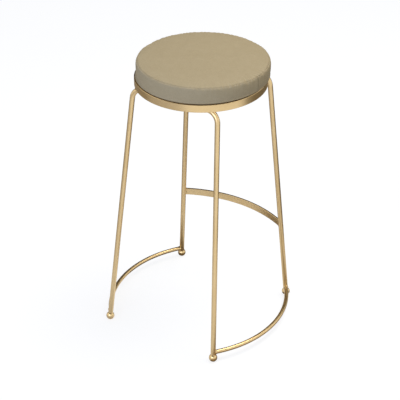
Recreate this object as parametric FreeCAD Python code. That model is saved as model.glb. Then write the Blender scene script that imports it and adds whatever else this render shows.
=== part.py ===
import FreeCAD, Part
import math
import os

os.makedirs("parts", exist_ok=True)
V = FreeCAD.Vector
UP = V(0, 0, 1)

# All sizes are millimetres. +Z is up, +Y is the footrest side, and the
# origin is on the floor under the middle of the whole outline.

# Leg frames: two bent round bars, each an upside-down U
leg_rod = 13.5
bend_radius = 30.0          # on the bar's axis
bar_height = 691.0          # axis of the level bars under the seat
rear_bar_back = 118.5       # seat axis to the rear bar
front_bar_out = 128.0       # seat axis to the front bar
rear_corner_out = 3.0       # corners of the U beyond the hoop, measured from the seat axis
front_corner_out = 9.6
rear_foot_half = 169.5
rear_foot_back = 199.8
front_foot_half = 179.2
front_foot_out = 168.2

# Ball feet
ball_dia = 22.5
ball_flat = 0.6             # depth of the flat that stands on the floor
leg_stop = 3.0              # ball centre to the end of the leg
socket_clearance = 0.05     # round the leg in its socket

# Seat hoop: flat bar rolled on edge
hoop_dia = 340.0
hoop_thick = 5.0
hoop_deep = 20.0
hoop_above_axis = 1.0       # the hoop's lower edge above the axis of the level bars
bar_edge = 0.7              # broken corners of the flat bars

# Footrest: flat bar on edge between the front legs
footrest_deep = 20.0
footrest_thick = 5.0
footrest_mid = 237.0
footrest_bow = 42.0         # bulge beyond the line between the front legs

# Floor arcs: round bars from a rear leg to a front leg
arc_rod = 11.5
arc_above_ball = -1.2       # below 0: its underside is lower than the top of the ball
arc_bow = 65.0              # bulge beyond the line between the legs

# Weld beads
weld_leg = 1.7              # height of a bead beside the leg
weld_run = 4.2              # length of a bead along the joining bar
weld_toe = 0.1              # height where it runs out
weld_fill = 0.3             # how far its hollow face is filled, from 0 to 1

# Padded seat, from the bars upward
pad_shift_x = 4.4           # the stuffed part leans a little off the hoop's axis
pad_shift_y = 3.1
soft_gap = 0.3              # between a soft piece and its neighbour
dust_thick = 0.5
dust_inset = 4.5
cover_thick = 1.2
pad_play = 1.5              # room round the foot of the pad in the hoop
hem_wide = 13.5
hem_round = 3.0
board_thick = 12.0
neck_above_hoop = 1.0       # the pad widens over the hoop from here
overhang = 7.4
lower_round = 5.0           # where its underside turns up into the side
side_rise = 30.5            # from that turn to the widest place
side_draw = 1.5             # how far the side is drawn in at its foot
side_bulge = 0.7
rim_across = 15.0           # rounded rim, measured along the radius
rim_rise = 11.0             # and upward
crown = 2.5
seam_angle = 50.0           # degrees round the rim from the side

# Seat screws and tee nuts
screw_dia = 5.0
screw_length = 25.0
screw_head = 9.5
head_deep = 3.5
head_round = 2.1
recess_wide = 1.1
recess_span = 5.0
recess_deep = 2.0
screw_hole_clearance = 0.5
thread_clearance = 0.1
spot_depth = 1.2
spot_clearance = 0.5
screw_half = 50.0           # seat middle to a screw, along X
tee_barrel = 6.6
tee_length = 9.0
tee_flange = 17.0
tee_flange_thick = 1.2
prong_count = 4
prong_circle = 12.5
prong_wide = 2.4
prong_thick = 1.0
prong_deep = 5.5

# Staples
staple_count = 28
staple_inset = 8.5
staple_wide = 10.0
staple_wire = 0.7
staple_deep = 6.0
staple_bar_clear = 6.0

# Where the seat axis falls once the outline is centred on the origin
hoop_radius = hoop_dia / 2
ball_radius = ball_dia / 2
ball_mid = ball_radius - ball_flat
rod_radius = leg_rod / 2
lift = bar_height - ball_mid
footrest_share = (bar_height - footrest_mid) / lift
footrest_leg_out = front_bar_out + (front_foot_out - front_bar_out) * footrest_share
front_reach = footrest_leg_out + footrest_bow + footrest_thick / 2
rear_reach = rear_foot_back + ball_radius
seat_y = (rear_reach - front_reach) / 2

# Levels and radii
arc_height = ball_mid + ball_radius + arc_above_ball + arc_rod / 2
hoop_bottom = bar_height + hoop_above_axis
bar_top = bar_height + rod_radius
dust_bottom = bar_top + soft_gap
hem_bottom = dust_bottom + dust_thick + soft_gap
board_bottom = hem_bottom + cover_thick + soft_gap
board_top = board_bottom + board_thick
foam_bottom = board_top + soft_gap
neck_height = hoop_bottom + hoop_deep + neck_above_hoop
side_foot = neck_height + lower_round
widest_height = side_foot + side_rise
pad_foot_radius = hoop_radius - hoop_thick - pad_play
pad_radius = pad_foot_radius + overhang
board_radius = pad_foot_radius - cover_thick - soft_gap
hem_inner = pad_foot_radius - hem_wide
dust_radius = pad_foot_radius - dust_inset
staple_circle = pad_foot_radius - staple_inset
head_seat = bar_height - rod_radius + spot_depth
seat_axis = V(0, seat_y, 0)
pad_axis = seat_axis + V(pad_shift_x, pad_shift_y, 0)


class Frame:
    """One bent leg frame: its axis points and its two bends."""

    def __init__(self, side, foot_half, foot_out, bar_out, corner_out):
        self.bar_half = math.sqrt((hoop_radius + corner_out) ** 2 - bar_out ** 2)
        self.bar_y = seat_y + side * bar_out
        self.foot_y = seat_y + side * foot_out
        self.foot_half = foot_half

    def ball(self, hand):
        return V(hand * self.foot_half, self.foot_y, ball_mid)

    def corner(self, hand):
        return V(hand * self.bar_half, self.bar_y, bar_height)

    def rise(self, hand):
        return (self.corner(hand) - self.ball(hand)).normalize()

    def at_height(self, hand, z):
        rise = self.rise(hand)
        return self.ball(hand) + rise * ((z - ball_mid) / rise.z)

    def bend(self, hand):
        """End on the leg, middle, and end on the bar of one bend."""
        down = self.rise(hand) * -1
        inward = V(-hand, 0, 0)
        half = down.getAngle(inward) / 2
        reach = bend_radius / math.tan(half)
        middle_way = (down + inward).normalize()
        to_arc = bend_radius / math.sin(half) - bend_radius
        corner = self.corner(hand)
        return corner + down * reach, corner + middle_way * to_arc, corner + inward * reach

    def axis(self):
        left_end = self.ball(-1) + self.rise(-1) * leg_stop
        right_end = self.ball(1) + self.rise(1) * leg_stop
        l_leg, l_mid, l_bar = self.bend(-1)
        r_leg, r_mid, r_bar = self.bend(1)
        edges = [
            Part.makeLine(left_end, l_leg),
            Part.Arc(l_leg, l_mid, l_bar).toShape(),
            Part.makeLine(l_bar, r_bar),
            Part.Arc(r_bar, r_mid, r_leg).toShape(),
            Part.makeLine(r_leg, right_end),
        ]
        return Part.Wire(edges)


rear = Frame(-1, rear_foot_half, rear_foot_back, rear_bar_back, rear_corner_out)
front = Frame(1, front_foot_half, front_foot_out, front_bar_out, front_corner_out)
FEET = {
    "rear_left": (rear, -1),
    "rear_right": (rear, 1),
    "front_left": (front, -1),
    "front_right": (front, 1),
}
screw_places = [V(hand * screw_half, f.bar_y, 0) for f in (rear, front) for hand in (-1, 1)]


def swept_rod(axis, diameter):
    start = axis.Edges[0]
    ring = Part.makeCircle(diameter / 2, start.valueAt(start.FirstParameter),
                           start.tangentAt(start.FirstParameter))
    return axis.makePipeShell([Part.Wire(ring)], True, False)


def upright(radius, low, high, place):
    return Part.makeCylinder(radius, high - low, V(place.x, place.y, low), UP)


def turned(edges, axis_point):
    """A closed outline in the XZ plane, turned about the upright axis."""
    face = Part.Face(Part.Wire(Part.__sortEdges__(edges)))
    face.translate(axis_point)
    return face.revolve(axis_point, UP, 360)


def line(x0, z0, x1, z1):
    return Part.makeLine(V(x0, 0, z0), V(x1, 0, z1))


def arc_middle(a, b, bow):
    """The point a given bow out from the middle of a level chord, away from the seat axis."""
    mid = (a + b) * 0.5
    out = V(b.y - a.y, a.x - b.x, 0).normalize()
    if out.dot(mid - V(0, seat_y, 0)) < 0:
        out = out * -1
    return mid + out * bow


def leg_core(frame, hand, height, away):
    """Plain length of a leg round a joint, with its seam line turned away from the joining bar."""
    rise = frame.rise(hand)
    out = (away - rise * away.dot(rise)).normalize() * rod_radius
    low = frame.at_height(hand, height - leg_rod)
    high = frame.at_height(hand, height + leg_rod)
    return Part.Face(Part.makePolygon([low, low + out, high + out, high, low])).revolve(low, rise, 360)


def leg_frame(frame):
    body = swept_rod(frame.axis(), leg_rod)
    for place in screw_places:
        if place.y == frame.bar_y:
            hole = (screw_dia + screw_hole_clearance) / 2
            body = body.cut(upright(hole, bar_height - leg_rod, bar_height + leg_rod, place))
            spot = (screw_head + spot_clearance) / 2
            body = body.cut(upright(spot, bar_height - leg_rod, head_seat, place))
    return body


def ball_foot(frame, hand):
    centre = frame.ball(hand)
    ball = Part.makeSphere(ball_radius, centre)
    floor = Part.makeBox(ball_dia, ball_dia, ball_radius,
                         V(centre.x - ball_radius, centre.y - ball_radius, -ball_radius))
    rise = frame.rise(hand)
    socket = Part.makeCylinder(rod_radius + socket_clearance, ball_dia, centre + rise * leg_stop, rise)
    return ball.cut(floor).cut(socket)


def flat_bar_section(thick, deep):
    """Section of a flat bar on edge in the XZ plane, with its corners broken."""
    x, z = thick / 2, deep / 2
    corners = []
    for i, j in ((1, 1), (-1, 1), (-1, -1), (1, -1)):
        side = V(i * x, 0, j * (z - bar_edge))
        end = V(i * (x - bar_edge), 0, j * z)
        corners += [side, end] if i == j else [end, side]
    return Part.Face(Part.makePolygon(corners + corners[:1]))


def rolled_flat_bar(centre, start, thick, deep, sweep):
    """Flat bar on edge, rolled about the upright axis at centre, from the point start."""
    section = flat_bar_section(thick, deep)
    section.Placement = FreeCAD.Placement(start, FreeCAD.Rotation(V(1, 0, 0), start - centre))
    return section.revolve(centre, UP, sweep)


def seat_hoop(rods):
    centre = V(0, seat_y, hoop_bottom + hoop_deep / 2)
    start = centre + V(hoop_radius - hoop_thick / 2, 0, 0)
    return rolled_flat_bar(centre, start, hoop_thick, hoop_deep, 360).cut(rods)


def floor_arc_axis(hand):
    a = rear.at_height(hand, arc_height)
    b = front.at_height(hand, arc_height)
    return Part.Wire(Part.Arc(a, arc_middle(a, b, arc_bow), b).toShape())


def footrest_axis():
    a = front.at_height(-1, footrest_mid)
    b = front.at_height(1, footrest_mid)
    return Part.Wire(Part.Arc(a, arc_middle(a, b, footrest_bow), b).toShape())


def footrest_bar(axis, legs):
    centre = axis.Edges[0].Curve.Center
    (left, _), (right, _) = ends(axis)
    sweep = math.degrees((left - centre).getAngle(right - centre))
    return rolled_flat_bar(centre, right, footrest_thick, footrest_deep, sweep).cut(legs)


def ends(axis):
    """Each end point of a one-edge axis, with the direction back along the bar."""
    edge = axis.Edges[0]
    first, last = edge.FirstParameter, edge.LastParameter
    return [(edge.valueAt(first), edge.tangentAt(first)), (edge.valueAt(last), edge.tangentAt(last) * -1)]


def weld_section(inner):
    """Hollow-faced bead: distance along the joining bar (X) against height off its middle (Z)."""
    start = rod_radius - weld_leg
    stop = rod_radius + weld_run
    top = inner + weld_leg
    low = inner + weld_toe
    dip = V((start + 2 * stop) / 3, 0, low + (top - low) * weld_fill)
    edges = [
        Part.Arc(V(start, 0, top), dip, V(stop, 0, low)).toShape(),
        line(stop, low, stop, 0),
        line(stop, 0, start, 0),
        line(start, 0, start, top),
    ]
    return Part.Face(Part.Wire(Part.__sortEdges__(edges)))


def ring_weld(end, along):
    """Bead round the end of a floor arc where it meets a leg."""
    bead = weld_section(arc_rod / 2).revolve(V(), V(1, 0, 0), 360)
    bead.Placement = FreeCAD.Placement(end, FreeCAD.Rotation(V(1, 0, 0), along))
    return bead


def edge_weld(end, along):
    """Upright bead on both faces of the footrest where it meets a leg."""
    height = footrest_deep - 2 * bar_edge
    half = weld_section(footrest_thick / 2).extrude(V(0, -height, 0))
    half.translate(V(0, height / 2, 0))
    bead = half.fuse(half.mirror(V(), UP))
    upright_turn = FreeCAD.Rotation(V(1, 0, 0), 90)
    turn = FreeCAD.Rotation(V(1, 0, 0), along).multiply(upright_turn)
    bead.Placement = FreeCAD.Placement(end, turn)
    return bead


def hoop_weld(frame):
    """Beads on the upper side of the bends, inside the hoop."""
    drum = upright(hoop_radius - hoop_thick, 0, bar_height + leg_rod, V(0, seat_y, 0)).Faces[0]
    beads = []
    for edge in frame.axis().Edges:
        for vertex in edge.section(drum).Vertexes:
            here = vertex.Point
            along = edge.tangentAt(edge.Curve.parameter(here))
            ring = Part.makeTorus(rod_radius, weld_leg, here, along)
            beads.append(ring.common(upright(leg_rod, hoop_bottom - weld_leg, bar_top, here)))
    return beads


def pad_outline(inset):
    """Underside, side, rim ellipse and crown of the stuffed part, a given depth under its surface."""
    rim_mid = V(pad_radius - rim_across, 0, widest_height)
    across, rise = rim_across - inset, rim_rise - inset
    wide = rim_mid + V(across, 0, 0)
    shoulder = rim_mid + V(0, 0, rise)
    rim = Part.Ellipse(wide, shoulder, rim_mid)
    turn_mid = V(pad_radius - side_draw - lower_round, 0, side_foot)
    turn = lower_round - inset
    ledge = turn_mid - V(0, 0, turn)
    low = turn_mid + V(turn, 0, 0)
    bend = turn_mid + V(turn, 0, -turn) * math.sqrt(0.5)
    swell = Part.Arc(low, (low + wide) * 0.5 + V(side_bulge, 0, 0), wide).toShape()
    under = line(hem_inner, ledge.z, ledge.x, ledge.z)
    ball = (shoulder.x ** 2 + crown ** 2) / (2 * crown)
    peak = V(0, 0, shoulder.z + crown)
    half_out = shoulder.x / 2
    half_way = V(half_out, 0, peak.z - ball + math.sqrt(ball ** 2 - half_out ** 2))
    top = Part.Arc(shoulder, half_way, peak).toShape()
    return [under, Part.Arc(ledge, bend, low).toShape(), swell], rim, top


def stuffed_part(inset):
    """The whole of the pad above the hoop, a given depth under its surface."""
    side, rim, top = pad_outline(inset)
    start = side[0].Vertexes[0].Point
    peak = top.Vertexes[1].Point
    edges = side + [rim_arc(rim, 0, 90), top, line(0, peak.z, 0, start.z), line(0, start.z, start.x, start.z)]
    return turned(edges, pad_axis)


def rim_arc(rim, start, stop):
    return Part.ArcOfEllipse(rim, math.radians(start), math.radians(stop)).toShape()


seam_half_gap = math.degrees(soft_gap / 2 / rim_rise)


def cover_top_panel():
    side, rim, top = pad_outline(0)
    side_in, rim_in, top_in = pad_outline(cover_thick)
    start = seam_angle + seam_half_gap
    outer = rim_arc(rim, start, 90)
    inner = rim_arc(rim_in, start, 90)
    edges = [outer, top, inner, top_in,
             Part.makeLine(outer.Vertexes[0].Point, inner.Vertexes[0].Point),
             Part.makeLine(top.Vertexes[1].Point, top_in.Vertexes[1].Point)]
    return turned(edges, pad_axis)


def cover_side_band(cuts):
    side, rim, top = pad_outline(0)
    side_in, rim_in, top_in = pad_outline(cover_thick)
    stop = seam_angle - seam_half_gap
    outer = rim_arc(rim, 0, stop)
    inner = rim_arc(rim_in, 0, stop)
    edges = side + side_in + [
        outer, inner,
        Part.makeLine(outer.Vertexes[1].Point, inner.Vertexes[1].Point),
        Part.makeLine(side[0].Vertexes[0].Point, side_in[0].Vertexes[0].Point),
    ]
    hem_top = hem_bottom + cover_thick
    core_radius = pad_foot_radius - cover_thick
    stuffing_hole = upright(core_radius, hem_top, side_foot, seat_axis)
    upper = turned(edges, pad_axis).cut(stuffing_hole)
    low = pad_foot_radius - hem_round
    turn = math.sqrt(0.5) * hem_round
    round_mid = V(low + turn, 0, hem_bottom + hem_round - turn)
    corner = Part.Arc(V(low, 0, hem_bottom), round_mid, V(pad_foot_radius, 0, hem_bottom + hem_round))
    foot_edges = [
        corner.toShape(),
        line(pad_foot_radius, hem_bottom + hem_round, pad_foot_radius, side_foot),
        line(pad_foot_radius, side_foot, core_radius, side_foot),
        line(core_radius, side_foot, core_radius, hem_top),
        line(core_radius, hem_top, hem_inner, hem_top),
        line(hem_inner, hem_top, hem_inner, hem_bottom),
        line(hem_inner, hem_bottom, low, hem_bottom),
    ]
    foot = turned(foot_edges, seat_axis).cut(stuffed_part(cover_thick))
    return upper.fuse(foot).removeSplitter().cut(cuts)


def foam_pad(pockets):
    inset = cover_thick + soft_gap
    foot = upright(pad_foot_radius - inset, foam_bottom, side_foot, seat_axis)
    return stuffed_part(inset).fuse(foot).removeSplitter().cut(pockets)


def seat_board(cuts):
    disc = upright(board_radius, board_bottom, board_top, seat_axis)
    rims = [e for e in disc.Edges if isinstance(e.Curve, Part.Circle)]
    return disc.makeFillet(bar_edge, rims).cut(cuts)


def dust_cover(cuts):
    return upright(dust_radius, dust_bottom, dust_bottom + dust_thick, seat_axis).cut(cuts)


def seat_screw(place):
    head_low = head_seat - head_deep
    head = upright(screw_head / 2, head_low, head_seat, place)
    rims = [e for e in head.Edges if isinstance(e.Curve, Part.Circle)]
    low_rim = [e for e in rims if e.CenterOfMass.z < head_seat - head_round]
    head = head.makeFillet(head_round, low_rim)
    slot = Part.makeBox(recess_span, recess_wide, recess_deep, V(-recess_span / 2, -recess_wide / 2, 0))
    cross = slot.fuse(slot.rotated(V(), UP, 90))
    cross.translate(V(place.x, place.y, head_low))
    shank = upright(screw_dia / 2, head_seat, head_seat + screw_length, place)
    tip = [e for e in shank.Edges if isinstance(e.Curve, Part.Circle) and e.CenterOfMass.z > board_bottom]
    return head.cut(cross).fuse(shank.makeChamfer(bar_edge, tip)).removeSplitter()


def tee_nut(place):
    body = upright(tee_flange / 2, board_top, board_top + tee_flange_thick, place)
    body = body.fuse(upright(tee_barrel / 2, board_top - tee_length, board_top, place))
    for i in range(prong_count):
        prong = Part.makeBox(prong_thick, prong_wide, prong_deep,
                             V(prong_circle / 2, -prong_wide / 2, board_top - prong_deep))
        prong.rotate(V(), UP, 360 * i / prong_count + 45)
        prong.translate(V(place.x, place.y, 0))
        body = body.fuse(prong)
    bore = (screw_dia + thread_clearance) / 2
    hole = upright(bore, board_top - tee_length, board_top + tee_flange_thick, place)
    return body.cut(hole).removeSplitter()


def staple(angle, grow):
    """One staple, or with grow the slot it needs in a soft layer."""
    half = staple_wide / 2
    wire = staple_wire + 2 * grow
    crown_low = dust_bottom - staple_wire
    body = Part.makeBox(staple_wire, staple_wide, staple_wire,
                        V(staple_circle - staple_wire / 2, -half, crown_low))
    for end in (-half, half - staple_wire):
        prong = Part.makeBox(wire, wire, board_bottom + staple_deep - crown_low,
                             V(staple_circle - staple_wire / 2 - grow, end - grow, crown_low))
        body = body.fuse(prong)
    body.rotate(V(), UP, angle)
    body.translate(seat_axis)
    return body.removeSplitter()


def staple_angles():
    """Even steps round the hem, missing out those that would land on a bar."""
    kept = []
    for i in range(staple_count):
        angle = 360 * (i + 0.5) / staple_count
        y = seat_axis.y + staple_circle * math.sin(math.radians(angle))
        room = rod_radius + staple_bar_clear
        if min(abs(y - rear.bar_y), abs(y - front.bar_y)) > room:
            kept.append(angle)
    return kept


# Steel frame
nodes = {"rear_leg_frame": leg_frame(rear), "front_leg_frame": leg_frame(front)}
both_frames = Part.makeCompound(list(nodes.values()))
nodes["seat_hoop"] = seat_hoop(both_frames)
beads = hoop_weld(rear) + hoop_weld(front)
nodes["hoop_welds"] = Part.makeCompound([b.cut([both_frames, nodes["seat_hoop"]]) for b in beads])

rest_axis = footrest_axis()
rest_legs = [leg_core(front, hand, footrest_mid, V(hand, 0, 0)) for hand in (-1, 1)]
rest = footrest_bar(rest_axis, rest_legs)
nodes["footrest_bar"] = rest
beads = [edge_weld(p, d) for p, d in ends(rest_axis)]
nodes["footrest_welds"] = Part.makeCompound([b.cut(rest_legs + [rest]) for b in beads])

for name, (frame, hand) in FEET.items():
    nodes["ball_foot_" + name] = ball_foot(frame, hand)

balls = [shape for name, shape in nodes.items() if name.startswith("ball_foot_")]
arc_beads = []
for side, hand in (("left", -1), ("right", 1)):
    axis = floor_arc_axis(hand)
    legs = [leg_core(frame, hand, arc_height, V(-hand, 0, 0)) for frame in (rear, front)]
    arc = swept_rod(axis, arc_rod).cut(legs)
    nodes[side + "_floor_arc"] = arc
    arc_beads += [ring_weld(p, d).cut(legs + balls + [arc]) for p, d in ends(axis)]
nodes["floor_arc_welds"] = Part.makeCompound(arc_beads)

# Padded seat
tee_nuts = Part.makeCompound([tee_nut(p) for p in screw_places])
staples = Part.makeCompound([staple(a, 0) for a in staple_angles()])
slots = Part.makeCompound([staple(a, soft_gap) for a in staple_angles()])
screw_ways = Part.makeCompound([upright(tee_barrel / 2, 0, board_top, p) for p in screw_places])
pockets = Part.makeCompound([upright(tee_flange / 2 + soft_gap, 0, board_top + tee_flange_thick + soft_gap, p)
                             for p in screw_places])

nodes["seat_board"] = seat_board([screw_ways, tee_nuts, staples])
nodes["foam_pad"] = foam_pad(pockets)
nodes["cover_top_panel"] = cover_top_panel()
nodes["cover_side_band"] = cover_side_band(slots)
nodes["dust_cover"] = dust_cover([slots, screw_ways])
nodes["staples"] = staples
nodes["tee_nuts"] = tee_nuts
nodes["seat_screws"] = Part.makeCompound([seat_screw(p) for p in screw_places])

for name, shape in nodes.items():
    shape.exportStep("parts/" + name + ".step")
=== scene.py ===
import bmesh
import bpy
import math
from mathutils import Matrix, Vector, noise
from mathutils.bvhtree import BVHTree


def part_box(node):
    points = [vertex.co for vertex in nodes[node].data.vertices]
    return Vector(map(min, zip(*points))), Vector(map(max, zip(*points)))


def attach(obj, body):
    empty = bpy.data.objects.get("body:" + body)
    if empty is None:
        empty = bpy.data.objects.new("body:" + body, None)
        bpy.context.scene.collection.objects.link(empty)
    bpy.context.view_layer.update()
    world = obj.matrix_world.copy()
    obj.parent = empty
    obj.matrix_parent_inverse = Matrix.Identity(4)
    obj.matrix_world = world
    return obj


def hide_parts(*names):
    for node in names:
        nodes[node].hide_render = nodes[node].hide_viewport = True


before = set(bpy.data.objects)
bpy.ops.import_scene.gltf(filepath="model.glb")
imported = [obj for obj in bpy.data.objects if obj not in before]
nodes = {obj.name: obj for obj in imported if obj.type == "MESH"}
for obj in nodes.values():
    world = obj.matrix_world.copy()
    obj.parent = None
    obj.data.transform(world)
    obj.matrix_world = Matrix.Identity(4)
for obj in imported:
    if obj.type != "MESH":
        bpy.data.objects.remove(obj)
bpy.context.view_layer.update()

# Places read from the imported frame; here and below, lengths are in metres and angles in radians
band_low, band_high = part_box("cover_side_band")
panel_low, panel_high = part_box("cover_top_panel")
board_low, board_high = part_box("seat_board")
dust_low, dust_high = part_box("dust_cover")
hoop_low, hoop_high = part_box("seat_hoop")
rest_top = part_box("footrest_bar")[1].z
pad_mid = (panel_low + panel_high) / 2
seat_mid = (hoop_low + hoop_high) / 2
pad_radius = band_high.x - pad_mid.x
pad_top = panel_high.z
up = Vector((0, 0, 1))
pad_axis = Vector((pad_mid.x, pad_mid.y, 0))
seat_axis = Vector((seat_mid.x, seat_mid.y, 0))

# Outline of the padded seat
hem_bottom = band_low.z
hem_round = 0.003
hem_wide = 0.0135
neck_inset = 0.0065
neck_rise = 0.001
neck_radius = (hoop_high.x - hoop_low.x) / 2 - neck_inset
neck_height = hoop_high.z + neck_rise
lower_round = 0.005
side_foot = neck_height + lower_round
side_draw = 0.0015
side_bulge = 0.0007
rim_across = 0.015
rim_rise = 0.011
rim_power = 2.7
crown = 0.0025
widest_height = pad_top - crown - rim_rise

# Steps along the outline and round the pad
hem_steps = 4
hem_round_steps = 6
neck_steps = 4
under_steps = 3
lower_round_steps = 8
side_steps = 12
rim_steps = 60
ring_step = 0.0032
turn_steps = 520
join_window = math.radians(9)
join_steps = 64
weld_near = 0.00001

# Rim seam and the upright join of the band
seam_angle = math.radians(50)
seam_depth = 0.0008
seam_half = 0.0010
join_angle = math.radians(-4)
join_half = 0.0012
join_depth = 0.0013
join_top = 0.0015
join_pull = 0.0009
join_pull_reach = 0.008
# Painted highlight on the rim just below the seam: its place, width and unevenness round the pad
rim_highlight_below = 0.0022
rim_highlight_half = 0.0026
rim_highlight_mean = 0.6
rim_highlight_vary = 0.8
rim_highlight_waves = 9.0
rim_highlight_level = 5.0
stitch_pitch = 0.0042
stitch_length = 0.0031
stitch_thick = 0.00055
stitch_lift = 0.0001
stitch_reach = 0.008

# Gathers beside the rim seam
pucker_depth = 0.0011
pucker_count = 84
pucker_wander = 7
pucker_waves = 6.0
pucker_level = 9.0
pucker_hollow = 1.6
pucker_reach = 0.009
pucker_reach_vary = 0.007
pucker_least_reach = 0.003
reach_waves = 14.0
reach_level = 2.0
gather_angle = math.radians(-16)
gather_spread = math.radians(24)
gather_mean = 0.28
gather_peak = 1.1
gather_vary = 0.40
gather_least = 0.1
gather_waves = 2.2
gather_level = 4.0

# Unevenness of the stuffing, which calms down towards the middle of the top
lump_height = 0.0009
lump_waves = 1.7
lump_rise = 18
soft_height = 0.0005
soft_scale = 26
calm_middle = (0.004, 0.03)
loose_from = 0.001
loose_above = 0.004

# Cloth run
cloth_inset = 0.0012
cloth_steps = 180
cloth_join_steps = 4
cloth_voxel = 0.005
cloth_frames = 20
cloth_hold = 0.6
cloth_hold_reach = (0.003, 0.009)
swell_cap = 0.003

# Rubbed places on the footrest and the balls
rest_rub_depth = 0.006
rest_rub_full = 0.063
rest_rub_end = 0.138
ball_rub_height = 0.006

# Dust sheet and board
rod_radius = 0.00675
bar_clear = (0.010, 0.034)
sheet_rings = 40
sheet_steps = 224
sheet_sag = 0.0016
wrinkle_height = 0.0005
wrinkle_scale = 30
ripple_height = 0.00022
ripple_count = 28
ripple_band = (0.72, 0.97)
ply_pairs = 4

# Camera, from its fit to the photograph
view_azimuth = math.radians(33.34)
view_elevation = math.radians(31.56)
view_distance = 3.3254
view_height = 0.3401
view_side = -0.0028
focal_pixels = 1237.4
picture_pixels = 400
sensor_millimetres = 36.0

# Studio light and the dull cards that the metal mirrors
ambient = 0.54
cool_light = (0.80, 0.86, 1.0)
lamp_width = 1.6
lamp_aim = 0.5
floor_half = 14
floor_tone = 0.9
floor_glow = 1.15
floor_glow_share = 0.7
card_height = 0.003
shade_off = 0.95
shade_height = 0.753
shade_size = (1.5, 1.2)
black_cloth = (0.055, 0.045, 0.035)
dark_cloth = (0.08, 0.065, 0.05)
brown_cloth = (0.15, 0.12, 0.085)
umber_cloth = (0.22, 0.182, 0.130)
tan_cloth = (0.38, 0.325, 0.245)
sand_cloth = (0.66, 0.62, 0.57)
cream_cloth = (0.95, 0.93, 0.90)
coffee_cloth = (0.24, 0.195, 0.140)
fawn_cloth = (0.36, 0.30, 0.22)
white_card = (0.9, 0.9, 0.9)
white_card_glow = 0.32


def smooth_step(low, high, value):
    """Share of the way from low to high, eased at both ends."""
    share = min(max((value - low) / (high - low), 0), 1)
    return share * share * (3 - 2 * share)


def heading_at(angle):
    """Level direction at an angle round the seat."""
    return Vector((math.cos(angle), math.sin(angle), 0))


def lean(height):
    """Axis of the pad at a height: the hoop's at its foot, its own where it is stuffed."""
    return seat_axis.lerp(pad_axis, smooth_step(neck_height, side_foot, height))


def polar(point):
    """Angle and distance of a point from the upright axis of the stuffed part."""
    offset = point - pad_mid
    return math.atan2(offset.y, offset.x), math.hypot(offset.x, offset.y)


def turn_from(angle, other):
    """Signed angle between two directions, in the half turn either side."""
    return (angle - other + math.pi) % (2 * math.pi) - math.pi


def hump(distance, half):
    """1 on a line and falling away smoothly beside it."""
    return math.exp(-(distance / half) ** 2)


def new_piece(name, mesh, material):
    """A finished piece at the origin, shaded smooth, that rides on the frame."""
    data = bpy.data.meshes.new(name)
    mesh.to_mesh(data)
    mesh.free()
    data.materials.append(material)
    for polygon in data.polygons:
        polygon.use_smooth = True
    piece = bpy.data.objects.new(name, data)
    bpy.context.scene.collection.objects.link(piece)
    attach(piece, "root")
    return piece


class Value:
    """A shader socket that Python arithmetic turns into Math nodes."""

    def __init__(self, owner, socket):
        self.owner = owner
        self.socket = socket

    def math(self, operation, first, second):
        return self.owner.node("ShaderNodeMath", {"operation": operation}, {0: first, 1: second})

    def __add__(self, other):
        return self.math("ADD", self, other)

    def __radd__(self, other):
        return self.math("ADD", other, self)

    def __sub__(self, other):
        return self.math("SUBTRACT", self, other)

    def __rsub__(self, other):
        return self.math("SUBTRACT", other, self)

    def __mul__(self, other):
        return self.math("MULTIPLY", self, other)

    def __rmul__(self, other):
        return self.math("MULTIPLY", other, self)

    def __mod__(self, other):
        return self.math("MODULO", self, other)

    def at_least(self, other):
        return self.math("MAXIMUM", self, other)


class Nodes:
    """Short ways to add nodes to the tree of a material or of the world."""

    def __init__(self, tree):
        self.tree = tree

    def node(self, kind, settings, sockets, output=0):
        """A new node, its settings made before its sockets are fed; gives one of its outputs."""
        made = self.tree.nodes.new(kind)
        for key, value in settings.items():
            setattr(made, key, value)
        for key, value in sockets.items():
            self.join(made.inputs[key], value)
        return Value(self, made.outputs[output])

    def join(self, socket, value):
        """Links a value to a socket, or sets a plain one on it."""
        if isinstance(value, Value):
            self.tree.links.new(value.socket, socket)
        else:
            socket.default_value = value

    def mix(self, share, first, second):
        """Colours mixed; a Mix node has its colours on sockets 6 and 7 and the result on output 2."""
        rgba = [c if isinstance(c, Value) else (*c, 1) for c in (first, second)]
        sockets = {"Factor": share, 6: rgba[0], 7: rgba[1]}
        return self.node("ShaderNodeMix", {"data_type": "RGBA"}, sockets, 2)

    def looked_at(self):
        """1 for rays that look at the background itself or mirror it, 0 for rays that only light things."""
        path = self.node("ShaderNodeLightPath", {}, {})
        outs = path.socket.node.outputs
        seen = Value(self, outs["Is Camera Ray"])
        for name in ("Is Glossy Ray", "Is Transmission Ray"):
            seen = seen.at_least(Value(self, outs[name]))
        return seen


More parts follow.
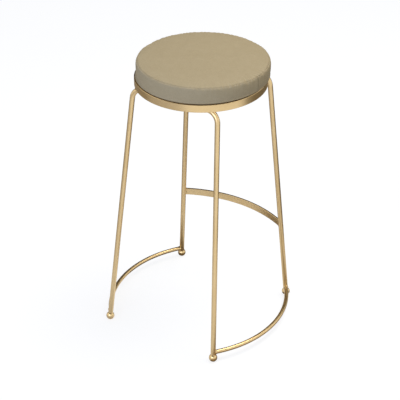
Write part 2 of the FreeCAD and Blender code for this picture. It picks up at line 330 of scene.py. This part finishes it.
class Finish(Nodes):
    """A material with one Principled shader, patterned on Object coordinates."""

    def __init__(self, name, **constants):
        self.material = bpy.data.materials.new(name)
        self.material.use_nodes = True
        super().__init__(self.material.node_tree)
        self.shader = self.tree.nodes["Principled BSDF"]
        self.feed(**constants)

    def feed(self, **values):
        """Feeds sockets of the shader, named with _ for each space."""
        for socket, value in values.items():
            self.join(self.shader.inputs[socket.replace("_", " ")], value)

    def place(self):
        return self.node("ShaderNodeTexCoord", {}, {}, "Object")

    def axis(self, letter):
        return self.node("ShaderNodeSeparateXYZ", {}, {0: self.place()}, letter)

    def stretched(self, scale):
        return self.node("ShaderNodeMapping", {}, {"Vector": self.place(), "Scale": scale})

    def noise(self, scale, detail=3.0, rough=0.5, vector=None):
        sockets = {"Vector": vector or self.place(), "Scale": scale, "Detail": detail, "Roughness": rough}
        return self.node("ShaderNodeTexNoise", {}, sockets)

    def cells(self, scale, feature="F1"):
        sockets = {"Vector": self.place(), "Scale": scale}
        return self.node("ShaderNodeTexVoronoi", {"feature": feature}, sockets)

    def ramp(self, value, low, high):
        sockets = {"Value": value, "From Min": low, "From Max": high}
        return self.node("ShaderNodeMapRange", {"interpolation_type": "SMOOTHSTEP"}, sockets)

    def bump(self, height, depth, strength, under=None):
        sockets = {"Height": height, "Distance": depth, "Strength": strength}
        if under:
            sockets["Normal"] = under
        return self.node("ShaderNodeBump", {}, sockets)

    def attribute(self, name):
        return self.node("ShaderNodeAttribute", {"attribute_name": name}, {}, "Fac")


def gold_finish(name, least_rough, scuffs=None, dulling=0.16):
    """Satin gold plate: cloudy tone, pits, fine blasted grain, smears, and scuffs where asked."""
    deep, pale = (0.74, 0.540, 0.270), (0.82, 0.615, 0.330)
    pitted, wear_and_highlight_tone = (0.36, 0.23, 0.10), (0.83, 0.68, 0.44)
    gold = Finish(name, Metallic=1.0)
    cloud = gold.noise(9.0, detail=4.0, rough=0.6)
    grain = gold.noise(2400.0, detail=2.0, rough=0.6)
    smear = gold.noise(55.0, detail=5.0, rough=0.65)
    pits = 1 - gold.ramp(gold.cells(520.0), 0.02, 0.12)
    tone = gold.mix(gold.ramp(cloud, 0.3, 0.7), deep, pale)
    tone = gold.mix(pits * 0.35, tone, pitted)
    rough = least_rough + 0.10 * smear + 0.06 * grain
    if scuffs:
        wear_and_highlight = scuffs(gold)
        tone = gold.mix(wear_and_highlight * 0.25, tone, wear_and_highlight_tone)
        rough = rough + dulling * wear_and_highlight
    blasted = gold.bump(grain, depth=0.00004, strength=0.5)
    smeared = gold.bump(smear, depth=0.0002, strength=0.15, under=blasted)
    gold.feed(Base_Color=tone, Roughness=rough, Normal=smeared)
    return gold.material


def footrest_scuffs(gold):
    """Rubbed along the upper edge of the footrest, most in the middle of its length."""
    x = gold.axis("X")
    edge = gold.ramp(gold.axis("Z"), rest_top - rest_rub_depth, rest_top)
    middle = 1 - gold.ramp(x * x, rest_rub_full ** 2, rest_rub_end ** 2)
    streaks = gold.noise(38.0, detail=6.0, rough=0.7, vector=gold.stretched((1.0, 1.0, 7.0)))
    return edge * middle * gold.ramp(streaks, 0.44, 0.62)


def floor_scuffs(gold):
    """Dulled where the balls stand on the floor."""
    low = 1 - gold.ramp(gold.axis("Z"), 0.0, ball_rub_height)
    return low * gold.ramp(gold.noise(160.0, detail=4.0), 0.35, 0.65)


def leather_finish():
    """Khaki coated leather: pebble grain, mottled tone, painted shade that darkens the pebble creases and the
    seams, and a painted highlight that makes the rim paler below the seam.
    """
    deep, pale, mottled = (0.446, 0.360, 0.211), (0.466, 0.379, 0.227), (0.385, 0.308, 0.178)
    painted_crease_shade, sewn, wear_and_highlight_tone = (0.225, 0.175, 0.100), (0.16, 0.122, 0.068), (0.56, 0.465, 0.300)
    skin = Finish("khaki_leather", Specular_IOR_Level=0.42)
    cloud = skin.noise(42.0, detail=5.0, rough=0.6)
    mottle = skin.ramp(skin.noise(280.0, rough=0.7), 0.35, 0.65)
    pebble = skin.cells(820.0, "DISTANCE_TO_EDGE")
    crease = 1 - skin.ramp(pebble, 0.0, 0.16)
    pore = skin.noise(2600.0, detail=2.0, rough=0.6)
    seam = skin.ramp(skin.attribute("seam_shade"), 0.0, 1.0)
    tone = skin.mix(skin.ramp(cloud, 0.3, 0.7), deep, pale)
    tone = skin.mix(mottle * 0.35, tone, mottled)
    # Painted shade: darker in the creases between the pebbles
    tone = skin.mix(crease * 0.28, tone, painted_crease_shade)
    # Painted shade: darker along the seam groove and the upright join
    tone = skin.mix(seam * 0.30, tone, sewn)
    # Painted highlight: paler along the rim just below the seam
    tone = skin.mix(skin.attribute("rim_painted_highlight") * 0.30, tone, wear_and_highlight_tone)
    rough = 0.40 + 0.14 * cloud + 0.16 * crease + 0.05 * pore
    pebbled = skin.bump(skin.ramp(pebble, 0.0, 0.22), depth=0.00016, strength=0.55)
    uneven = skin.bump(skin.noise(70.0), depth=0.0006, strength=0.12, under=pebbled)
    porous = skin.bump(pore, depth=0.00004, strength=0.4, under=uneven)
    skin.feed(Base_Color=tone, Roughness=rough, Normal=porous)
    return skin.material


def thread_finish():
    """Spun thread, a shade darker than the leather."""
    thread = Finish("khaki_thread", Specular_IOR_Level=0.3)
    fibre = thread.noise(3200.0, rough=0.7)
    tone = thread.mix(fibre, (0.27, 0.212, 0.120), (0.40, 0.322, 0.190))
    spun = thread.bump(fibre, depth=0.0001, strength=0.6)
    thread.feed(Base_Color=tone, Roughness=0.6 + 0.25 * fibre, Normal=spun)
    return thread.material


def zinc_finish():
    """Zinc-plated steel of the hidden fasteners."""
    zinc = Finish("zinc_plate", Metallic=1.0)
    spangle = zinc.cells(600.0)
    streak = zinc.noise(240.0, detail=4.0, rough=0.6)
    tone = zinc.mix(spangle, (0.52, 0.53, 0.52), (0.68, 0.67, 0.62))
    drawn = zinc.bump(streak, depth=0.0001, strength=0.3)
    zinc.feed(Base_Color=tone, Roughness=0.28 + 0.2 * streak, Normal=drawn)
    return zinc.material


def plywood_finish():
    """Birch plywood: long grain on the faces, stacked plies at the edge."""
    early, late, glued = (0.55, 0.39, 0.22), (0.74, 0.58, 0.37), (0.36, 0.23, 0.12)
    wood = Finish("plywood", Specular_IOR_Level=0.3)
    layer = (wood.axis("Z") - board_low.z) * (ply_pairs / (board_high.z - board_low.z)) % 1
    ply = wood.ramp(layer, 0.42, 0.58)
    grain = wood.noise(60.0, detail=8.0, rough=0.65, vector=wood.stretched((1.0, 9.0, 4.0)))
    tone = wood.mix(ply * 0.35, wood.mix(grain, early, late), glued)
    ridged = wood.bump(grain, depth=0.0003, strength=0.4)
    wood.feed(Base_Color=tone, Roughness=0.55 + 0.25 * grain, Normal=ridged)
    return wood.material


def dust_cloth_finish():
    """Black spun-bonded cloth with its pressed dimples and a little lint."""
    deep, pale, linty = (0.013, 0.013, 0.014), (0.055, 0.054, 0.052), (0.095, 0.091, 0.084)
    cloth = Finish("black_spunbond", Specular_IOR_Level=0.2)
    dimple = cloth.cells(420.0)
    fibre = cloth.noise(1500.0, detail=5.0, rough=0.7)
    lint = cloth.ramp(cloth.noise(24.0, detail=5.0, rough=0.65), 0.42, 0.72)
    tone = cloth.mix(lint * 0.35, cloth.mix(fibre, deep, pale), linty)
    pressed = cloth.bump(cloth.ramp(dimple, 0.05, 0.4), depth=0.0004, strength=0.6)
    fibrous = cloth.bump(fibre, depth=0.0001, strength=0.5, under=pressed)
    cloth.feed(Base_Color=tone, Roughness=0.75 + 0.2 * fibre, Normal=fibrous)
    return cloth.material


def give(material, *names):
    """Puts a finish on CAD nodes in place of the plain one."""
    for name in names:
        slots = nodes[name].data.materials
        slots.clear()
        slots.append(material)


def side_radius(height):
    """Radius of the upright side of the pad at a height between its foot and its widest place."""
    share = (height - side_foot) / (widest_height - side_foot)
    return pad_radius - side_draw * (1 - share) + 4 * side_bulge * share * (1 - share)


def lower_quarter(mid_radius, mid_height, size, steps):
    """Points of a round that turns from level to upright, up to but not at its far end."""
    turns = [math.radians(-90 + 90 * i / steps) for i in range(steps)]
    return [(mid_radius + size * math.cos(t), mid_height + size * math.sin(t)) for t in turns]


def rim_point(angle):
    """Point of the rim at an angle up from its widest place; the rim is squarer than an ellipse."""
    across = rim_across * math.cos(angle) ** (2 / rim_power)
    rise = rim_rise * math.sin(angle) ** (2 / rim_power)
    return pad_radius - rim_across + across, widest_height + rise


def rim_slope(angle):
    """Outward and upward parts of the direction that the rim faces at an angle."""
    steep = 2 - 2 / rim_power
    across = math.cos(angle) ** steep / rim_across
    rise = math.sin(angle) ** steep / rim_rise
    return across / math.hypot(across, rise), rise / math.hypot(across, rise)


def pad_profile():
    """Outer line of the padded seat from the hem's inner edge to the crown, as radius and height."""
    hem_run = hem_wide - hem_round
    points = [(neck_radius - hem_wide + hem_run * i / hem_steps, hem_bottom) for i in range(hem_steps)]
    hem_top = hem_bottom + hem_round
    points += lower_quarter(neck_radius - hem_round, hem_top, hem_round, hem_round_steps)
    neck_run = neck_height - hem_top
    points += [(neck_radius, hem_top + neck_run * i / neck_steps) for i in range(neck_steps)]
    turn_radius = pad_radius - side_draw - lower_round
    under_run = turn_radius - neck_radius
    points += [(neck_radius + under_run * i / under_steps, neck_height) for i in range(under_steps)]
    points += lower_quarter(turn_radius, side_foot, lower_round, lower_round_steps)
    rise = widest_height - side_foot
    heights = [side_foot + rise * i / side_steps for i in range(side_steps)]
    points += [(side_radius(height), height) for height in heights]
    points += [rim_point(math.radians(90 * i / rim_steps)) for i in range(rim_steps)]
    rim_mid = pad_radius - rim_across
    top_steps = int(rim_mid / ring_step)
    for i in range(top_steps + 1):
        share = 1 - i / top_steps
        points.append((rim_mid * share, pad_top - crown * share * share))
    return points


def signed_runs(points):
    """Distance of each profile point from the seam, along the profile, negative below it."""
    runs = [0.0]
    for start, end in zip(points, points[1:]):
        runs.append(runs[-1] + math.dist(start, end))
    seam = rim_point(seam_angle)
    nearest = min(range(len(points)), key=lambda i: math.dist(points[i], seam))
    return [run - runs[nearest] for run in runs]


def ring_noise(angle, waves, level):
    """Smooth noise that runs round the pad and meets itself, from -1 to 1; each level is another run."""
    return noise.noise(Vector((math.cos(angle) * waves, math.sin(angle) * waves, level)))


def pucker(angle, run):
    """Gathers beside the seam: uneven radial folds that die away, most on the right-hand front."""
    lively = gather_mean + gather_peak * hump(turn_from(angle, gather_angle), gather_spread)
    lively += gather_vary * ring_noise(angle, gather_waves, gather_level)
    wander = pucker_wander * ring_noise(angle, pucker_waves, pucker_level)
    wave = math.sin(angle * pucker_count + wander)
    fold = wave if wave > 0 else pucker_hollow * wave
    reach = pucker_reach + pucker_reach_vary * ring_noise(angle, reach_waves, reach_level)
    fade = math.exp(-abs(run) / max(reach, pucker_least_reach))
    return pucker_depth * max(lively, gather_least) * fold * fade


def cover_shift(point, angle, radius, run):
    """How far the sewn cover stands off its stuffed form at one place."""
    loose = smooth_step(neck_height + loose_from, side_foot + loose_above, point.z)
    loose *= smooth_step(*calm_middle, radius)
    lumps = lump_height * ring_noise(angle, lump_waves, point.z * lump_rise)
    soft = soft_height * noise.noise(point * soft_scale)
    groove = -seam_depth * hump(run, seam_half)
    across = turn_from(angle, join_angle) * pad_radius
    below = smooth_step(0.0, join_top, -run)
    join = -join_depth * hump(across, join_half) * below
    pull = join_pull * hump(across, join_pull_reach) * below
    return loose * (lumps + soft + pucker(angle, run) + pull) + groove + join


def turned_pad(points, runs, steps, fine_steps):
    """The profile spun round its axis, with finer steps at the upright join, and its foot over the hoop."""
    mesh = bmesh.new()
    from_seam = mesh.verts.layers.float.new("from_seam")
    heading = heading_at(join_angle + join_window / 2)
    line = []
    for (radius, height), run in zip(points, runs):
        vert = mesh.verts.new(pad_axis + up * height + heading * radius)
        vert[from_seam] = run
        line.append(vert)
    edges = [mesh.edges.new(pair) for pair in zip(line, line[1:])]
    spin = {"cent": pad_mid, "axis": up}
    rest_of_turn = 2 * math.pi - join_window
    made = bmesh.ops.spin(mesh, geom=line + edges, angle=rest_of_turn, steps=steps, **spin)
    bmesh.ops.spin(mesh, geom=made["geom_last"], angle=join_window, steps=fine_steps, **spin)
    bmesh.ops.remove_doubles(mesh, verts=mesh.verts, dist=weld_near)
    bmesh.ops.holes_fill(mesh, edges=[e for e in mesh.edges if e.is_boundary], sides=0)
    bmesh.ops.recalc_face_normals(mesh, faces=mesh.faces)
    for vert in mesh.verts:
        vert.co += lean(vert.co.z) - pad_axis
    mesh.normal_update()
    return mesh


def set_places(mesh, places):
    """Puts each vertex at its place."""
    for vert, place in zip(mesh.verts, places):
        vert.co = place


def skin_surface(data):
    """A mesh as a surface that points and rays can be put to."""
    return BVHTree.FromPolygons([v.co for v in data.vertices], [p.vertices for p in data.polygons])


def evaluated_mesh(piece):
    """Mesh of a piece with its modifiers applied."""
    graph = bpy.context.evaluated_depsgraph_get()
    return bpy.data.meshes.new_from_object(piece.evaluated_get(graph))


def stuffing_piece(points, runs):
    """A slightly smaller pad in even small faces, held at its foot and less firmly along its seam."""
    mesh = turned_pad(points, runs, cloth_steps, cloth_join_steps)
    set_places(mesh, [vert.co - vert.normal * cloth_inset for vert in mesh.verts])
    data = bpy.data.meshes.new("stuffing")
    mesh.to_mesh(data)
    mesh.free()
    stuffing = bpy.data.objects.new("stuffing", data)
    bpy.context.scene.collection.objects.link(stuffing)
    remesh = stuffing.modifiers.new("remesh", "REMESH")
    remesh.mode = "VOXEL"
    remesh.voxel_size = cloth_voxel
    stuffing.data = evaluated_mesh(stuffing)
    stuffing.modifiers.clear()
    seam = rim_point(seam_angle)
    sewn = stuffing.vertex_groups.new(name="sewn")
    for vert in stuffing.data.vertices:
        radius = polar(vert.co)[1]
        off = math.dist((radius, vert.co.z), seam)
        held = 1.0 if vert.co.z < side_foot else cloth_hold * (1 - smooth_step(*cloth_hold_reach, off))
        sewn.add([vert.index], held, "REPLACE")
    return stuffing


def stuffed_surface(points, runs):
    """Cloth run that blows the cover up between its sewn lines; gives the surface it settles to."""
    stuffing = stuffing_piece(points, runs)
    cloth = stuffing.modifiers.new("cloth", "CLOTH")
    cloth.settings.quality = 6
    cloth.settings.mass = 0.3
    cloth.settings.tension_stiffness = 12
    cloth.settings.compression_stiffness = 12
    cloth.settings.bending_stiffness = 0.4
    cloth.settings.vertex_group_mass = "sewn"
    cloth.settings.use_pressure = True
    cloth.settings.uniform_pressure_force = 4
    cloth.settings.effector_weights.gravity = 0
    cloth.point_cache.frame_start = 1
    cloth.point_cache.frame_end = cloth_frames
    for frame_number in range(1, cloth_frames + 1):
        bpy.context.scene.frame_set(frame_number)
    surface = skin_surface(evaluated_mesh(stuffing))
    bpy.data.objects.remove(stuffing)
    bpy.context.scene.frame_set(1)
    return surface


def swell(surface, vert):
    """How far the cloth run puts the cover from the turned form here, within its cap."""
    place = surface.find_nearest(vert.co)[0]
    away = (place - vert.co).dot(vert.normal)
    return min(max(away, -swell_cap), swell_cap)


def seat_pad(material):
    """The stuffed seat: turned, swelled by the cloth run, then drawn in at its seams and gathered."""
    points = pad_profile()
    runs = signed_runs(points)
    mesh = turned_pad(points, runs, turn_steps, join_steps)
    shade = mesh.verts.layers.float.new("seam_shade")
    rim_highlight_layer = mesh.verts.layers.float.new("rim_painted_highlight")
    from_seam = mesh.verts.layers.float["from_seam"]
    surface = stuffed_surface(points, runs)
    places = []
    for vert in mesh.verts:
        angle, radius = polar(vert.co)
        run = vert[from_seam]
        out = cover_shift(vert.co, angle, radius, run)
        if surface and vert.co.z > side_foot:
            out += swell(surface, vert)
        places.append(vert.co + vert.normal * out)
        # Painted shade in the seam groove and the upright join of the band
        in_join = hump(turn_from(angle, join_angle) * radius, join_half) if run < 0 else 0.0
        vert[shade] = max(hump(run, seam_half), in_join)
        # Painted highlight along the rim just below the seam, uneven round the pad
        wear_and_highlight = max(rim_highlight_mean + rim_highlight_vary * ring_noise(angle, rim_highlight_waves, rim_highlight_level), 0)
        vert[rim_highlight_layer] = wear_and_highlight * hump(run + rim_highlight_below, rim_highlight_half)
    set_places(mesh, places)
    pad = new_piece("seat_pad", mesh, material)
    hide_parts("cover_top_panel", "cover_side_band", "foam_pad")
    return pad


def sew_stitch(mesh, surface, place, along, out):
    """One stitch, half sunk in the cover below a place: a short length of thread with pointed ends."""
    seat = surface.ray_cast(place + out * stitch_reach, -out)[0] + out * stitch_lift
    turn = Matrix((along, out.cross(along), out)).transposed().to_4x4()
    stretch = Matrix.Diagonal((stitch_length / 2, stitch_thick / 2, stitch_thick / 2, 1))
    put = Matrix.Translation(seat) @ turn @ stretch
    bmesh.ops.create_icosphere(mesh, subdivisions=1, radius=1, matrix=put)


def seam_stitches(pad, material):
    """Thread that shows in the seam round the rim and in the upright join of the band."""
    mesh = bmesh.new()
    surface = skin_surface(pad.data)
    radius, height = rim_point(seam_angle)
    outward, upward = rim_slope(seam_angle)
    count = round(2 * math.pi * radius / stitch_pitch)
    for i in range(count):
        heading = heading_at(2 * math.pi * i / count)
        place = pad_axis + up * height + heading * radius
        sew_stitch(mesh, surface, place, up.cross(heading), heading * outward + up * upward)
    heading = heading_at(join_angle)
    for i in range(int((widest_height - side_foot) / stitch_pitch)):
        middle = side_foot + stitch_pitch * (i + 0.5)
        place = pad_axis + up * middle + heading * side_radius(middle)
        sew_stitch(mesh, surface, place, up, heading)
    piece = new_piece("seam_stitches", mesh, material)


def dust_sheet(material):
    """Thin cloth under the board, slack between its staples and clear of the bars."""
    radius = (dust_high.x - dust_low.x) / 2
    middle = (dust_low + dust_high) / 2
    bar_lines = [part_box("rear_leg_frame")[1].y - rod_radius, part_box("front_leg_frame")[0].y + rod_radius]
    mesh = bmesh.new()
    reaches = [radius * i / sheet_rings for i in range(sheet_rings + 1)]
    line = [mesh.verts.new((middle.x + reach, middle.y, dust_high.z)) for reach in reaches]
    edges = [mesh.edges.new(pair) for pair in zip(line, line[1:])]
    spin = {"cent": middle, "axis": up, "angle": 2 * math.pi, "steps": sheet_steps}
    bmesh.ops.spin(mesh, geom=line + edges, use_merge=True, **spin)
    bmesh.ops.remove_doubles(mesh, verts=mesh.verts, dist=weld_near)
    for vert in mesh.verts:
        offset = vert.co - middle
        share = math.hypot(offset.x, offset.y) / radius
        angle = math.atan2(offset.y, offset.x)
        clear = min(smooth_step(*bar_clear, abs(vert.co.y - bar)) for bar in bar_lines)
        sag = sheet_sag * (1 - share ** 2)
        wrinkle = wrinkle_height * noise.noise(vert.co * wrinkle_scale) * (1 - share ** 3)
        ripple = ripple_height * math.sin(ripple_count * angle) * smooth_step(*ripple_band, share)
        vert.co.z -= clear * max(sag + wrinkle + ripple, 0)
    bmesh.ops.recalc_face_normals(mesh, faces=mesh.faces)
    piece = new_piece("dust_sheet", mesh, material)
    wall = piece.modifiers.new("cloth_thickness", "SOLIDIFY")
    wall.thickness = dust_high.z - dust_low.z
    wall.offset = 0
    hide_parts("dust_cover")


def stage_piece(name, mesh, finish):
    """A floor or card of the studio, which is no part of the stool."""
    data = bpy.data.meshes.new(name)
    mesh.to_mesh(data)
    mesh.free()
    data.materials.append(finish.material)
    piece = bpy.data.objects.new(name, data)
    bpy.context.scene.collection.objects.link(piece)
    return piece


def studio_floor():
    """Pale floor that reads white to the eye and still takes a soft shadow."""
    mesh = bmesh.new()
    bmesh.ops.create_grid(mesh, x_segments=1, y_segments=1, size=floor_half)
    finish = Finish("studio_white", Roughness=1.0, Specular_IOR_Level=0.0)
    finish.feed(Base_Color=(floor_tone, floor_tone, floor_tone, 1))
    glow = finish.node("ShaderNodeEmission", {}, {"Strength": floor_glow})
    lit = Value(finish, finish.shader.outputs[0])
    share = floor_glow_share * finish.looked_at()
    shown = finish.node("ShaderNodeMixShader", {}, {0: share, 1: lit, 2: glow})
    finish.join(finish.tree.nodes["Material Output"].inputs["Surface"], shown)
    stage_piece("studio_floor", mesh, finish)


def studio_world():
    """White to look at, and a plain soft level of cool light for everything else."""
    world = bpy.data.worlds.new("studio")
    world.use_nodes = True
    bpy.context.scene.world = world
    sky = Nodes(world.node_tree)
    seen = sky.looked_at()
    back = world.node_tree.nodes["Background"]
    sky.join(back.inputs["Color"], sky.mix(seen, cool_light, (1, 1, 1)))
    sky.join(back.inputs["Strength"], ambient + (1 - ambient) * seen)


def studio_card(name, place, facing, side, width, height, colour, shades=False, glow=0.0):
    """A dull card that shows only in reflections, or with shades only keeps light off the stool."""
    mesh = bmesh.new()
    bmesh.ops.create_grid(mesh, x_segments=1, y_segments=1, size=0.5)
    turn = Matrix((side, facing.cross(side), facing)).transposed().to_4x4()
    put = Matrix.Translation(place) @ turn @ Matrix.Diagonal((width, height, 1, 1))
    bmesh.ops.transform(mesh, matrix=put, verts=mesh.verts)
    finish = Finish(name + "_cloth", Roughness=1.0, Specular_IOR_Level=0.0)
    finish.feed(Base_Color=(*colour, 1), Emission_Color=(1, 1, 1, 1), Emission_Strength=glow)
    card = stage_piece(name, mesh, finish)
    card.visible_camera = False
    card.visible_diffuse = shades
    card.visible_shadow = shades
    card.visible_glossy = not shades
    card.visible_transmission = False


def soft_lamp(name, place, target, power, colour):
    """Round area lamp turned to a target."""
    lamp = bpy.data.lights.new(name, "AREA")
    lamp.color = colour
    lamp.shape = "DISK"
    lamp.size = lamp_width
    lamp.energy = power
    holder = bpy.data.objects.new(name, lamp)
    holder.location = place
    holder.rotation_euler = (target - place).to_track_quat("-Z", "Y").to_euler()
    bpy.context.scene.collection.objects.link(holder)


def photo_camera(toward, right):
    """The photograph's camera, looking back along the direction toward it."""
    target = seat_axis + up * view_height + right * view_side
    lens = bpy.data.cameras.new("photo_camera")
    lens.sensor_width = sensor_millimetres
    lens.lens = focal_pixels * sensor_millimetres / picture_pixels
    camera = bpy.data.objects.new("photo_camera", lens)
    camera.location = target + toward * view_distance
    camera.rotation_euler = (-toward).to_track_quat("-Z", "Y").to_euler()
    bpy.context.scene.collection.objects.link(camera)
    bpy.context.scene.camera = camera


def studio_lamps(near, right):
    """A warm lamp overhead and a cool one in front, both turned to the middle of the stool."""
    middle = seat_axis + up * lamp_aim
    for name, across, toward, above, power, colour in (
            ("overhead", 0.8, -0.2, 2.4, 41, (1.0, 0.95, 0.85)),
            ("front_fill", -1.3, 2.2, 0.9, 20, (0.62, 0.72, 1.0))):
        place = middle + right * across + near * toward + up * above
        soft_lamp(name, place, middle, power, colour)


def studio_cards(near, right):
    """Cards over and behind the stool, on the floor round it, and under its arcs and footrest."""
    ground = seat_axis + up * card_height
    for name, across, toward, above, facing, side, width, depth, colour in (
            ("ceiling_flag", 0.0, 0.0, 3.7, -up, right, 5.0, 5.0, black_cloth),
            ("back_flag", 0.0, -2.0, 1.5, near, up.cross(near), 6.0, 3.0, dark_cloth),
            ("near_floor_flag", 0.0, 0.0, -0.001, up, right, 1.9, 1.9, cream_cloth),
            ("left_floor_flag", -1.9, 1.0, 0.0, up, right, 2.6, 2.6, sand_cloth),
            ("back_left_floor_flag", -1.8, -1.4, 0.0, up, right, 2.6, 2.6, tan_cloth),
            ("right_floor_flag", 1.9, -0.9, 0.0, up, right, 2.6, 2.6, umber_cloth),
            ("back_floor_flag", 0.0, -1.45, 0.0, up, right, 1.6, 2.3, tan_cloth)):
        place = ground + right * across + near * toward + up * above
        studio_card(name, place, facing, side, width, depth, colour)
    for name, x, y, above, width, depth, colour, glow in (
            ("left_arc_flag", -0.185, 0.10, 0.0, 0.15, 0.20, coffee_cloth, 0.0),
            ("right_arc_flag", 0.24, -0.03, 0.0, 0.15, 0.46, fawn_cloth, 0.0),
            ("footrest_card", -0.08, -0.09, -0.0005, 0.30, 0.22, white_card, white_card_glow)):
        place = ground + Vector((x, y, above))
        studio_card(name, place, up, Vector((1, 0, 0)), width, depth, colour, glow=glow)


def shade_card(right):
    """Card that keeps some light off the right-hand side of the pad and doesn't show in the metal."""
    place = seat_axis + right * shade_off + up * shade_height
    studio_card("right_flag", place, -right, right.cross(up), *shade_size, brown_cloth, shades=True)


bpy.context.scene.view_settings.view_transform = "Standard"

# Finishes on the CAD nodes
give(gold_finish("satin_gold", 0.24), "rear_leg_frame", "front_leg_frame", "seat_hoop", "left_floor_arc",
     "right_floor_arc", "hoop_welds", "footrest_welds", "floor_arc_welds")
give(gold_finish("ball_gold", 0.13, floor_scuffs), *[name for name in nodes if name.startswith("ball_foot_")])
give(gold_finish("footrest_gold", 0.17, footrest_scuffs, 0.05), "footrest_bar")
give(zinc_finish(), "staples", "tee_nuts", "seat_screws")
give(plywood_finish(), "seat_board")

# Soft pieces
seam_stitches(seat_pad(leather_finish()), thread_finish())
dust_sheet(dust_cloth_finish())

# Studio
near = Vector((math.sin(view_azimuth), -math.cos(view_azimuth), 0))
right = Vector((math.cos(view_azimuth), math.sin(view_azimuth), 0))
photo_camera(near * math.cos(view_elevation) + up * math.sin(view_elevation), right)
studio_floor()
studio_world()
studio_lamps(near, right)
studio_cards(near, right)
shade_card(right)
